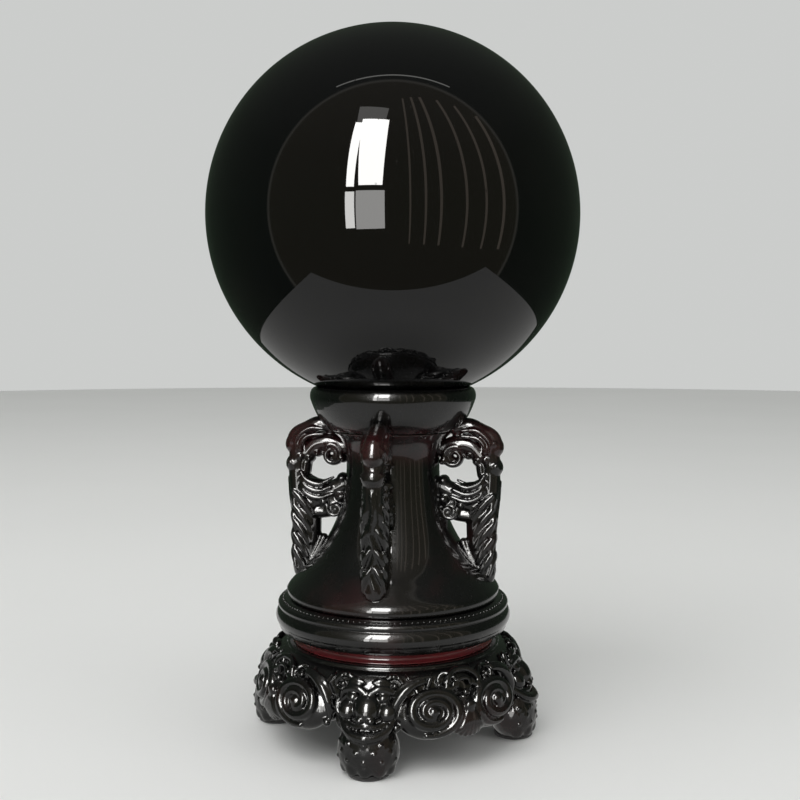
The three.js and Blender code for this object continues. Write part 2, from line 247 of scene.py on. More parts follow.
@dataclass
class Clay:
    """A lump of carver's clay, in millimetres, that shapes are pressed into and fused."""

    mesh: bmesh.types.BMesh = field(default_factory=bmesh.new)

    def bead(
        self, centre: Sequence[float], half: Sequence[float], turn: float = 0, fine: int = 3, lean: float = 0
    ) -> None:
        """Presses in a rounded lump.

        Args:
            centre: The lump's centre.
            half: Half its size along X, Y and Z.
            turn: Degrees that it is turned about Z.
            fine: Subdivision level of its surface.
            lean: Degrees that its +X side is tipped up, before it is turned.
        """
        tipped = Matrix.Rotation(math.radians(-lean), 4, "Y")
        place = Matrix.Translation(Vector(centre)) @ Matrix.Rotation(math.radians(turn), 4, "Z") @ tipped
        shape = place @ Matrix.Diagonal((*half, 1))
        bmesh.ops.create_icosphere(self.mesh, subdivisions=fine, radius=1, matrix=shape)

    def rope(
        self,
        path: Sequence[Sequence[float]],
        width: Width,
        depth: float = 1,
        facing: Callable[[Vector], Vector] = facing_y,
        sides: int = 10,
    ) -> None:
        """Lays a round or flattened rope along a path and rounds its ends.

        Args:
            path: Points that the rope's middle follows.
            width: Half the rope's width at each share of the path, from 0 to 1.
            depth: The rope's depth as a multiple of its width.
            facing: Gives the direction that the depth lies in, at a point.
            sides: Corners of the rope's section.
        """
        points = [Vector(point) for point in path]
        last = len(points) - 1
        rings = []
        for index, point in enumerate(points):
            along = (points[min(index + 1, last)] - points[max(index - 1, 0)]).normalized()
            across = facing(point).cross(along).normalized()
            over = along.cross(across)
            size = width(index / last)
            section = Matrix((across * size, over * size * depth, along)).transposed().to_4x4()
            rings.append(Matrix.Translation(point) @ section)
        made = bmesh.ops.create_circle(self.mesh, cap_ends=True, segments=sides, radius=1, matrix=rings[0])
        face = made["verts"][0].link_faces[0]
        for before, after in zip(rings, rings[1:]):
            grown = bmesh.ops.extrude_face_region(self.mesh, geom=[face])["geom"]
            face = only(bmesh.types.BMFace, grown)[0]
            corners = only(bmesh.types.BMVert, grown)
            bmesh.ops.transform(self.mesh, matrix=after @ before.inverted(), verts=corners)
        for ring in (rings[0], rings[-1]):
            end = ring @ Matrix.Diagonal((1, 1, min(width(0), width(1)), 1))
            bmesh.ops.create_icosphere(self.mesh, subdivisions=2, radius=1, matrix=end)

    def block(self, low: Sequence[float], high: Sequence[float]) -> None:
        """Presses in a plain block.

        Args:
            low: Its lowest corner.
            high: Its highest corner.
        """
        middle = (Vector(low) + Vector(high)) / 2
        size = Vector(high) - Vector(low)
        shape = Matrix.Translation(middle) @ Matrix.Diagonal((*size, 1))
        bmesh.ops.create_cube(self.mesh, size=1, matrix=shape)

    def lean_back(self, height: float, share: float) -> None:
        """Leans everything above a height inwards.

        Args:
            height: Height that the lean starts at.
            share: How far a point moves in, as a share of its rise above that height.
        """
        above = [vert for vert in self.mesh.verts if vert.co.z > height]
        sheared = Matrix.Translation((share * height, 0, 0))
        sheared[0][2] = -share
        bmesh.ops.transform(self.mesh, matrix=sheared, verts=above)

    def mirrored(self) -> None:
        """Adds the other half of a lump that was shaped on the +Y side only."""
        whole = self.mesh.verts[:] + self.mesh.edges[:] + self.mesh.faces[:]
        copied = bmesh.ops.duplicate(self.mesh, geom=whole)["geom"]
        bmesh.ops.scale(self.mesh, vec=(1, -1, 1), verts=only(bmesh.types.BMVert, copied))
        bmesh.ops.reverse_faces(self.mesh, faces=only(bmesh.types.BMFace, copied))

    def fused(self, grain: float, smoothing: int, floor: float | None = None) -> bpy.types.Mesh:
        """Fuses everything pressed in so far into one closed skin.

        Args:
            grain: Size of the clay's grain, the finest detail that it holds.
            smoothing: Passes that rub the skin smooth.
            floor: Height that the lump is cut flat at, if it stands on something.

        Returns:
            The skin, in millimetres.
        """
        raw = mesh_of(self.mesh)
        lump = bpy.data.objects.new("clay", raw)
        bpy.context.scene.collection.objects.link(lump)
        remesh = lump.modifiers.new("fuse", "REMESH")
        remesh.mode = "VOXEL"
        remesh.voxel_size = grain
        seen = lump.evaluated_get(bpy.context.evaluated_depsgraph_get())
        skin = bmesh.new()
        skin.from_mesh(seen.to_mesh())
        seen.to_mesh_clear()
        bpy.data.objects.remove(lump)
        bpy.data.meshes.remove(raw)
        axes = {"use_axis_x": True, "use_axis_y": True, "use_axis_z": True}
        for _ in range(smoothing):
            bmesh.ops.smooth_vert(skin, verts=skin.verts, factor=0.5, **axes)
        if floor is not None:
            everything = skin.verts[:] + skin.edges[:] + skin.faces[:]
            plane = {"plane_co": (0, 0, floor), "plane_no": (0, 0, -1)}
            cut = bmesh.ops.bisect_plane(skin, geom=everything, clear_outer=True, **plane)["geom_cut"]
            bmesh.ops.holes_fill(skin, edges=only(bmesh.types.BMEdge, cut), sides=0)
        return mesh_of(skin)


def turned(profile: Sequence[Pair], steps: int = 160) -> bmesh.types.BMesh:
    """Turns a profile about the upright axis, as on a lathe.

    Args:
        profile: Pairs of radius and height in millimetres, from axis to axis or closed on itself.
        steps: Facets round the piece.

    Returns:
        The turned shape.
    """
    shape = bmesh.new()
    corners = [shape.verts.new((radius, 0, height)) for radius, height in profile]
    if profile[0][0] > 0:
        corners.append(corners[0])
    edges = [shape.edges.new(pair) for pair in zip(corners, corners[1:])]
    outline = list(dict.fromkeys(corners)) + edges
    circle = {"cent": (0, 0, 0), "axis": (0, 0, 1), "angle": 2 * math.pi}
    bmesh.ops.spin(shape, geom=outline, steps=steps, use_merge=True, **circle)
    bmesh.ops.remove_doubles(shape, verts=shape.verts, dist=0.002)
    return shape


# ---------------------------------------------------------------- finishes


@dataclass(frozen=True)
class Signal:
    """An output of a node. Reckoning with it adds Math nodes to its tree."""

    nodes: Nodes
    socket: bpy.types.NodeSocket

    def reckon(self, operation: str, first: Signal | float, second: Signal | float) -> Signal:
        """Adds one Math node and returns its output."""
        return self.nodes.add("Math", {"operation": operation}, {0: first, 1: second})

    def __add__(self, other: Signal | float) -> Signal:
        """Sum."""
        return self.reckon("ADD", self, other)

    __radd__ = __add__

    def __sub__(self, other: Signal | float) -> Signal:
        """Difference."""
        return self.reckon("SUBTRACT", self, other)

    def __rsub__(self, other: float) -> Signal:
        """Difference from a plain number."""
        return self.reckon("SUBTRACT", other, self)

    def __mul__(self, other: Signal | float) -> Signal:
        """Product."""
        return self.reckon("MULTIPLY", self, other)

    __rmul__ = __mul__

    def above(self, low: float, high: float) -> Signal:
        """Fades from 0 at low to 1 at high."""
        sockets = {"Value": self, "From Min": low, "From Max": high}
        return self.nodes.add("MapRange", {"interpolation_type": "SMOOTHSTEP"}, sockets)


@dataclass(frozen=True)
class Nodes:
    """The nodes of one material, or of the world."""

    tree: bpy.types.NodeTree

    def add(
        self,
        kind: str,
        settings: dict[str, object] | None = None,
        sockets: dict[str | int, object] | None = None,
        output: str | int = 0,
    ) -> Signal:
        """Adds a node.

        Args:
            kind: The node's type name, without the ShaderNode that each starts with.
            settings: Its properties or its ramp's stops, which are set before its sockets.
            sockets: Values or signals for its inputs, by name or place.
            output: Which of its outputs is wanted, by name or place.

        Returns:
            That output.
        """
        node = self.tree.nodes.new(f"ShaderNode{kind}")
        for key, value in (settings or {}).items():
            if key == "stops":
                self.set_stops(node.color_ramp.elements, value)
            else:
                setattr(node, key, value)
        self.feed(node, sockets or {})
        return Signal(self, node.outputs[output])

    def set_stops(self, ramp: bpy.types.ColorRampElements, stops: Stops) -> None:
        """Sets a ramp's colours and their places.

        Args:
            ramp: The ramp's own two stops.
            stops: Places between 0 and 1 with their colours.
        """
        ramp[0].position, ramp[0].color = stops[0]
        ramp[1].position, ramp[1].color = stops[-1]
        for position, colour in stops[1:-1]:
            ramp.new(position).color = colour

    def feed(self, node: bpy.types.Node, sockets: dict[str | int, object]) -> None:
        """Sets or links a node's inputs.

        Args:
            node: The node.
            sockets: Values or signals, by the input's name or place.
        """
        for key, value in sockets.items():
            if isinstance(value, Signal):
                self.tree.links.new(value.socket, node.inputs[key])
            else:
                node.inputs[key].default_value = value

    def place(self, stretch: Triple = (1, 1, 1)) -> Signal:
        """Object coordinates, stretched along the axes."""
        coordinates = self.add("TexCoord", output="Object")
        return self.add("Mapping", sockets={"Vector": coordinates, "Scale": stretch})

    def noise(self, scale: float, detail: float = 3, stretch: Triple = (1, 1, 1)) -> Signal:
        """Cloudy pattern between 0 and 1, with scale features in a metre."""
        sockets = {"Vector": self.place(stretch), "Scale": scale, "Detail": detail}
        return self.add("TexNoise", sockets=sockets)

    def cells(self, scale: float) -> Signal:
        """Distance to the nearest of many scattered points."""
        return self.add("TexVoronoi", None, {"Vector": self.place(), "Scale": scale}, "Distance")

    def mixed(self, share: Signal | float, first: object, second: object, blend: str = "MIX") -> Signal:
        """Mixes two colours.

        Args:
            share: How much of the second colour there is, from 0 to 1.
            first: The first colour or signal.
            second: The second colour or signal.
            blend: The way that they mix.

        Returns:
            The mixed colour.
        """
        share_place, first_place, second_place, colour_place = 0, 6, 7, 2
        sockets = {share_place: share, first_place: first, second_place: second}
        return self.add("Mix", {"data_type": "RGBA", "blend_type": blend}, sockets, colour_place)

    def bumped(self, height: Signal, strength: float, depth: float) -> Signal:
        """Normal of a bumpy surface, with depth in metres."""
        return self.add("Bump", sockets={"Height": height, "Strength": strength, "Distance": depth})


@dataclass(frozen=True)
class Finish:
    """A procedural material, and the record's material slot that it belongs to."""

    name: str
    slot: str = ""

    def made(self) -> bpy.types.Material:
        """Makes the material the first time that it is asked for.

        Returns:
            The material.
        """
        material = bpy.data.materials.get(self.name)
        if material is None:
            material = bpy.data.materials.new(self.name)
            material.use_nodes = True
            nodes = Nodes(material.node_tree)
            nodes.feed(material.node_tree.nodes["Principled BSDF"], self.look(nodes))
        return material

    def look(self, nodes: Nodes) -> dict[str, object]:
        """Values and patterns for the shader's sockets."""
        raise NotImplementedError


@dataclass(frozen=True)
class BlackGlass(Finish):
    """Mirror-polished near-black glass with smoky depths, wiping marks and a little dust."""

    name: str = "ball_black_glass"
    slot: str = "ball_glass"
    body: Colour = (0.0022, 0.0022, 0.0024, 1)
    smoke: Colour = (0.005, 0.0045, 0.004, 1)

    def look(self, nodes: Nodes) -> dict[str, object]:
        """Smoke in the colour, wiping marks and dust in the gloss.

        Args:
            nodes: The material's nodes.

        Returns:
            Values and signals, by the name of the shader's socket.
        """
        clouds = nodes.noise(22, detail=5).above(0.48, 0.78)
        wiping = nodes.noise(30, detail=4, stretch=(1, 1, 6)).above(0.45, 0.8)
        dust = 1 - nodes.cells(420).above(0.05, 0.12)
        return {
            "Base Color": nodes.mixed(clouds, self.body, self.smoke),
            "Roughness": 0.012 + wiping * 0.03 + dust * 0.12,
            "IOR": 1.56,
            "Normal": nodes.bumped(nodes.noise(55, detail=2), strength=0.03, depth=0.0003),
        }


@dataclass(frozen=True)
class BlackLacquer(Finish):
    """Black lacquer over dark red resin, worn thin on the edges and sprayed thin under the cup."""

    name: str = "stand_black_lacquer"
    slot: str = "black_lacquer"
    black: Colour = (0.0026, 0.0025, 0.0025, 1)
    red: Colour = (0.034, 0.006, 0.007, 1)
    sprayed_from: Pair = (0.058, 0.063)
    sprayed_to: Pair = (0.066, 0.069)

    def look(self, nodes: Nodes) -> dict[str, object]:
        """Red where the lacquer is thin, with brush flow and dust specks under the gloss.

        Args:
            nodes: The material's nodes.

        Returns:
            Values and signals, by the name of the shader's socket.
        """
        worn = nodes.add("NewGeometry", output="Pointiness").above(0.53, 0.62)
        patches = nodes.noise(60, detail=4).above(0.54, 0.78)
        height = nodes.add("SeparateXYZ", None, {0: nodes.place()}, "Z")
        under_cup = height.above(*self.sprayed_from) * (1 - height.above(*self.sprayed_to))
        spray = under_cup * nodes.noise(130).above(0.35, 0.6)
        thin = patches * 0.45 + worn * patches * 0.5 + spray * 0.7
        flow = nodes.noise(260, stretch=(1, 1, 0.5))
        specks = 1 - nodes.cells(900).above(0.08, 0.2)
        return {
            "Base Color": nodes.mixed(thin, self.black, self.red),
            "Roughness": 0.2 + flow * 0.14,
            "Specular IOR Level": 0.3,
            "Coat Weight": 1.0,
            "Coat Roughness": 0.03,
            "Normal": nodes.bumped(flow * 0.8 + specks * 0.35, strength=0.22, depth=0.00012),
        }


@dataclass(frozen=True)
class RedLacquer(Finish):
    """Deep red lacquer with darker streaks in it."""

    name: str = "waist_red_lacquer"
    slot: str = "red_lacquer"
    red: Colour = (0.14, 0.017, 0.02, 1)
    dark: Colour = (0.035, 0.006, 0.007, 1)

    def look(self, nodes: Nodes) -> dict[str, object]:
        """Streaks in the colour and brush flow in the gloss.

        Args:
            nodes: The material's nodes.

        Returns:
            Values and signals, by the name of the shader's socket.
        """
        streaks = nodes.noise(60, detail=4, stretch=(1, 1, 5)).above(0.42, 0.75)
        flow = nodes.noise(240)
        return {
            "Base Color": nodes.mixed(streaks, self.red, self.dark),
            "Roughness": 0.16 + flow * 0.14,
            "Coat Weight": 1.0,
            "Coat Roughness": 0.05,
            "Normal": nodes.bumped(flow, strength=0.2, depth=0.0001),
        }


@dataclass(frozen=True)
class SoftRubber(Finish):
    """Black rubber with a fine moulded grain."""

    name: str = "seat_soft_rubber"
    slot: str = "seat_rubber"
    black: Colour = (0.006, 0.006, 0.007, 1)
    grey: Colour = (0.022, 0.021, 0.021, 1)

    def look(self, nodes: Nodes) -> dict[str, object]:
        """Dusty bloom in the colour, grain in the surface.

        Args:
            nodes: The material's nodes.

        Returns:
            Values and signals, by the name of the shader's socket.
        """
        bloom = nodes.noise(180, detail=5).above(0.45, 0.75)
        return {
            "Base Color": nodes.mixed(bloom, self.black, self.grey),
            "Roughness": 0.42 + bloom * 0.25,
            "Normal": nodes.bumped(nodes.noise(2600, detail=2), strength=0.35, depth=0.0001),
        }


@dataclass(frozen=True)
class BlackFelt(Finish):
    """Pressed black felt with loose fibres."""

    name: str = "pad_black_felt"
    slot: str = "felt"
    black: Colour = (0.008, 0.007, 0.007, 1)
    lint: Colour = (0.06, 0.055, 0.05, 1)

    def look(self, nodes: Nodes) -> dict[str, object]:
        """Lint in the colour, fibres in the surface.

        Args:
            nodes: The material's nodes.

        Returns:
            Values and signals, by the name of the shader's socket.
        """
        fibres = nodes.noise(3200, detail=4, stretch=(1, 3, 1))
        return {
            "Base Color": nodes.mixed(fibres.above(0.55, 0.8), self.black, self.lint),
            "Roughness": 0.95,
            "Sheen Weight": 0.4,
            "Normal": nodes.bumped(fibres, strength=0.8, depth=0.0002),
        }


@dataclass(frozen=True)
class PlainMetal(Finish):
    """Bare metal with turning marks and dull patches."""

    bright: Colour = (0.55, 0.55, 0.56, 1)
    dull: Colour = (0.3, 0.29, 0.28, 1)

    def look(self, nodes: Nodes) -> dict[str, object]:
        """Dull patches in the colour, turning marks in the surface.

        Args:
            nodes: The material's nodes.

        Returns:
            Values and signals, by the name of the shader's socket.
        """
        patches = nodes.noise(320, detail=4).above(0.4, 0.7)
        marks = nodes.noise(500, detail=2, stretch=(1, 1, 8))
        return {
            "Base Color": nodes.mixed(patches, self.bright, self.dull),
            "Metallic": 1.0,
            "Roughness": 0.25 + marks * 0.2,
            "Normal": nodes.bumped(marks, strength=0.3, depth=0.00005),
        }


@dataclass(frozen=True)
class PaleFloor(Finish):
    """Plain pale floor with the faintest cloudiness."""

    name: str = "floor_pale"
    grey: Colour = (0.78, 0.78, 0.77, 1)
    pale: Colour = (0.82, 0.82, 0.81, 1)

    def look(self, nodes: Nodes) -> dict[str, object]:
        """Two near whites mixed by a wide cloud.

        Args:
            nodes: The material's nodes.

        Returns:
            Values and signals, by the name of the shader's socket.
        """
        cloud = nodes.noise(6, detail=2)
        return {"Base Color": nodes.mixed(cloud, self.grey, self.pale), "Roughness": 0.55}


@dataclass(frozen=True)
class TableSheen(Finish):
    """Glowing sheet that polished surfaces see as the pale table top: a painted reflection, with painted
    shade round the feet.
    """

    name: str = "table_sheen"
    shaded: Colour = (0.32, 0.32, 0.31, 1)
    lit: Colour = (0.47, 0.47, 0.46, 1)
    shade_edge: Pair = (0.025, 0.08)

    def look(self, nodes: Nodes) -> dict[str, object]:
        """Painted reflection of the table whose glow grows with the distance from the object, so the feet get
        painted shade.

        Args:
            nodes: The material's nodes.

        Returns:
            Values and signals, by the name of the shader's socket.
        """
        reach = nodes.add("VectorMath", {"operation": "LENGTH"}, {0: nodes.place()}, "Value")
        cloud = nodes.noise(9, detail=2) * 0.2 + 0.8
        return {
            "Base Color": (0, 0, 0, 1),
            # painted shade: the glow is dimmer near the feet, and the painted table reflection is brighter
            # further out
            "Emission Color": nodes.mixed(reach.above(*self.shade_edge) * cloud, self.shaded, self.lit),
            "Emission Strength": 1.0,
            "Specular IOR Level": 0.0,
        }


BLACK_GLASS = BlackGlass()
BLACK_LACQUER = BlackLacquer()
RED_LACQUER = RedLacquer()
SOFT_RUBBER = SoftRubber()
BLACK_FELT = BlackFelt()
STEEL = PlainMetal("fastener_steel")
BRASS = PlainMetal("fastener_brass", bright=(0.72, 0.5, 0.2, 1), dull=(0.35, 0.22, 0.08, 1))


# ---------------------------------------------------------------- pieces


def box_mm(node: str) -> tuple[Vector, Vector]:
    """Lowest and highest corners of a node, in millimetres."""
    low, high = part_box(node)
    return low / MM, high / MM


def set_in_place(
    name: str,
    mesh: bpy.types.Mesh,
    finish: Finish,
    nodes: Sequence[str] = (),
    body: str = "stand",
    turn: Matrix | None = None,
) -> None:
    """Makes a finished piece of a mesh that was shaped in millimetres.

    Args:
        name: The piece's name.
        mesh: Its shape, which is copied, so that one shape can serve four sides.
        finish: Its material.
        nodes: The frame's nodes that it stands for.
        body: The body that it rides on.
        turn: Rotation that brings the shape to its side.
    """
    own = mesh.copy()
    own.name = name
    own.transform((turn or Matrix.Identity(4)) @ Matrix.Scale(MM, 4))
    own.materials.clear()
    own.materials.append(finish.made())
    own.shade_smooth()
    piece = bpy.data.objects.new(name, own)
    bpy.context.scene.collection.objects.link(piece)
    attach(piece, body)
    if nodes:
        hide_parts(*nodes)
    LOG.info("%s: %d faces", name, len(own.polygons))


def set_turned(node: str, profile: Sequence[Pair], finish: Finish = BLACK_LACQUER) -> None:
    """Turns a profile and sets it in the place of its node."""
    set_in_place(f"{node}_turned", mesh_of(turned(profile)), finish, [node])


@dataclass
class Ball:
    """The polished ball."""

    facets: int = 224

    def build(self) -> None:
        """Turns the ball from a half circle."""
        low, high = box_mm("ball")
        radius = (high.z - low.z) / 2
        half = arc((0, (high.z + low.z) / 2), radius, -90, 90, self.facets // 2)
        profile = [(0, low.z), *half[1:-1], (0, high.z)]
        set_in_place("ball_polished", mesh_of(turned(profile, self.facets)), BLACK_GLASS, ["ball"], "ball")


@dataclass
class SeatRing:
    """The loose rubber ring that the ball lies on."""

    flash: float = 0.12
    facets: int = 128
    section_facets: int = 36

    def build(self) -> None:
        """Turns the ring, with its moulding line inside and outside."""
        low, high = box_mm("seat_ring")
        section = (high.z - low.z) / 2
        middle = high.x - section
        height = (high.z + low.z) / 2
        profile = [
            (r + math.copysign(self.flash, r - middle) if abs(z - height) < 0.02 else r, z)
            for r, z in arc((middle, height), section, 0, 360, self.section_facets)[:-1]
        ]
        mesh = mesh_of(turned(profile, self.facets))
        set_in_place("seat_ring_moulded", mesh, SOFT_RUBBER, ["seat_ring"], "seat_ring")


@dataclass
class CupRim:
    """The turned cup with its rolled lip, ring groove and well."""

    spigot: float = 6.0
    lip_height: float = 1.9
    groove: Pair = (14.1, 16.85)
    groove_depth: float = 3.1
    well_radius: float = 11.6
    well_depth: float = 8.2

    def build(self) -> None:
        """Turns the cup from its spigot to its lip and down into the well."""
        low, high = box_mm("cup_rim")
        top = high.z
        shoulder = top - 9.3
        knots = [(13.9, shoulder), (15.2, top - 8.1), (16.3, top - 6.6), (17.1, top - 5.0), (17.6, top - 3.8)]
        inside, outside = self.groove
        lip_width = high.x - outside
        lip_middle = top - self.lip_height
        rolled = arc((0, 0), 1, -30, 90, 12)
        lip = [(outside + lip_width * r, lip_middle + self.lip_height * z) for r, z in rolled]
        floor = top - self.groove_depth
        groove = [(outside, top - 0.4), (outside, floor + 0.3), (outside - 0.3, floor), (inside, floor)]
        well = [(13.6, top - 5.1), (self.well_radius, top - self.well_depth), (0, top - self.well_depth)]
        foot = [(0, low.z), (self.spigot, low.z), (self.spigot, shoulder)]
        set_turned("cup_rim", [*foot, *pairs(smooth_line(knots)), *lip, *groove, *well])


@dataclass
class Column:
    """The trumpet-shaped neck with its bell skirt."""

    socket: float = 6.3
    socket_depth: float = 6.0
    edge: float = 0.4

    def build(self) -> None:
        """Turns the neck, with a rounded edge to its skirt."""
        low, high = box_mm("neck")
        skirt = high.x
        base = low.z
        top = high.z
        knots = [
            (skirt - 0.02, base + 1.6),
            (22.5, base + 2.7),
            (19.8, base + 5.5),
            (17.4, base + 8.1),
            (15.3, base + 10.9),
            (13.4, base + 14.2),
            (11.8, base + 18.0),
            (10.7, base + 22.1),
            (10.2, base + 27.0),
            (10.35, base + 31.0),
            (11.4, base + 33.9),
            (13.5, top),
        ]
        profile = [
            (ROD_BORE, base),
            *arc((skirt - 0.65, base + self.edge), self.edge, -90, -8, 6),
            *pairs(smooth_line(knots, 8)),
            (self.socket, top),
            (self.socket, top - self.socket_depth),
            (ROD_BORE, top - self.socket_depth),
        ]
        set_turned("neck", profile)


@dataclass
class RingMoulding:
    """The double-bead ring under the skirt, with a row of pearls on its top edge."""

    roll: float = 2.4
    bead: float = 0.85
    pearls: int = 128
    pearl_size: float = 0.25

    def build(self) -> None:
        """Turns the ring and sets its pearls."""
        low, high = box_mm("ring_moulding")
        reach = high.x
        base = low.z
        top = high.z
        profile = [
            (ROD_BORE, base),
            *pairs(smooth_line([(22.6, base), (24.0, base + 0.15), (24.95, base + 0.85)])),
            *arc((reach - self.roll, base + 3.25), self.roll, -42, 50, 16),
            *arc((reach - 1.3, base + 5.75), self.bead, -42, 80, 10),
            (reach - 1.5, top - 0.35),
            (reach - 1.9, top),
            (ROD_BORE, top),
        ]
        shape = turned(profile)
        spot = Matrix.Translation((reach - 1.6, 0, top - 0.3)) @ Matrix.Scale(self.pearl_size, 4)
        for index in range(self.pearls):
            turn = Matrix.Rotation(2 * math.pi * index / self.pearls, 4, "Z")
            bmesh.ops.create_uvsphere(shape, u_segments=8, v_segments=5, radius=1, matrix=turn @ spot)
        set_in_place("ring_moulding_turned", mesh_of(shape), BLACK_LACQUER, ["ring_moulding"])


@dataclass
class WaistRing:
    """The red hollow band between the ring moulding and the base."""

    hollow: float = 0.55
    fillet: float = 0.75

    def build(self) -> None:
        """Turns the band with a hollow wall between two fillets."""
        low, high = box_mm("waist_ring")
        reach = high.x
        wall = [
            (reach, low.z),
            (reach, low.z + 0.15),
            (reach - 0.2, low.z + 0.3),
            (reach - self.hollow, low.z + self.fillet),
            (reach - self.hollow, high.z - self.fillet),
            (reach - 0.3, high.z - 0.25),
            (reach - 0.2, high.z),
        ]
        profile = [(ROD_BORE, low.z), *pairs(smooth_line(wall, 4)), (ROD_BORE, high.z)]
        set_turned("waist_ring", profile, RED_LACQUER)


@dataclass(frozen=True)
class Dome:
    """The rounded wall of the base, which low carving is laid on."""

    wall_top: float = 14.6
    shoulder: float = 5.9
    top_radius: float = 22.9
    overhang: float = 3.9

    def at(self, angle: float, height: float, lift: float = 0) -> Vector:
        """A point on the wall.

        Args:
            angle: Degrees round the upright axis.
            height: Height in millimetres.
            lift: How far the point stands out of the surface.

        Returns:
            The point.
        """
        share = max(0.0, (height - self.wall_top) / self.shoulder)
        radius = self.top_radius + self.overhang * (1 - share**3) + lift
        return polar(angle, radius, height + lift * 0.5)


DOME = Dome()


@dataclass
class BaseCrown:
    """The domed top of the base with its beaded edge and low cloud scrolls."""

    nut_radius: float = 6.5
    nut_depth: float = 3.7
    scrolls_round: int = 16
    scroll_height: float = 17.6
    wall_radius: float = 26

    def build(self) -> None:
        """Turns the dome, then lays the scrolls on it."""
        low, high = box_mm("base_crown")
        base = low.z
        knots = [(25.6, 0), (26.5, 1.4), (26.7, 2.9), (26.2, 5.0), (25.1, 6.6), (23.9, 7.35)]
        profile = [
            (ROD_BORE, base + self.nut_depth),
            (self.nut_radius, base + self.nut_depth),
            (self.nut_radius, base),
            *pairs(smooth_line([(radius, base + rise) for radius, rise in knots])),
            *arc((22.75, high.z - 0.45), 0.6, -20, 95, 6),
            (ROD_BORE, high.z),
        ]
        set_turned("base_crown", profile)
        self.scrolls()

    def scrolls(self) -> None:
        """Lays a ring of cloud scrolls on the dome, each with a pip and a leaf over it."""
        clay = Clay()
        winding = spiral((0, 0), -60, 500, 2.15, 0.45, 30)
        for index in range(self.scrolls_round):
            middle = 360 * (index + 0.5) / self.scrolls_round
            hand = 1 if index % 2 else -1
            path = []
            for across, up in winding:
                angle = middle + hand * math.degrees(across / self.wall_radius)
                path.append(DOME.at(angle, self.scroll_height + 0.75 * up, 0.1))
            clay.rope(path, taper(0.62, 0.4), facing=facing_out, sides=8)
            clay.bead(DOME.at(middle, self.scroll_height, 0.25), (0.7, 0.7, 0.6), fine=2)
            over = [(5 + 1.4 * step, 19.3 - 0.55 * step - 0.12 * step * step) for step in range(6)]
            blade = [DOME.at(middle - hand * angle, height, 0.05) for angle, height in over]
            clay.rope(blade, leaf(0.25, 0.6), facing=facing_out, sides=8)
        set_in_place("base_crown_scrolls", mesh_of(clay.mesh), BLACK_LACQUER)


@dataclass
class Carving:
    """A carved piece that is repeated round the stand, shaped for the one that points along +X."""

    stem: str
    places: type[Spot] = Side
    grain: float = 0.2
    smoothing: int = 4

    def shape(self) -> bpy.types.Mesh:
        """The piece, in millimetres."""
        raise NotImplementedError

    def build(self) -> None:
        """Sets one copy in each of its places."""
        mesh = self.shape()
        for place in self.places:
            node = f"{self.stem}_{place.label}"
            set_in_place(f"{node}_carved", mesh, BLACK_LACQUER, [node], turn=place.turn)


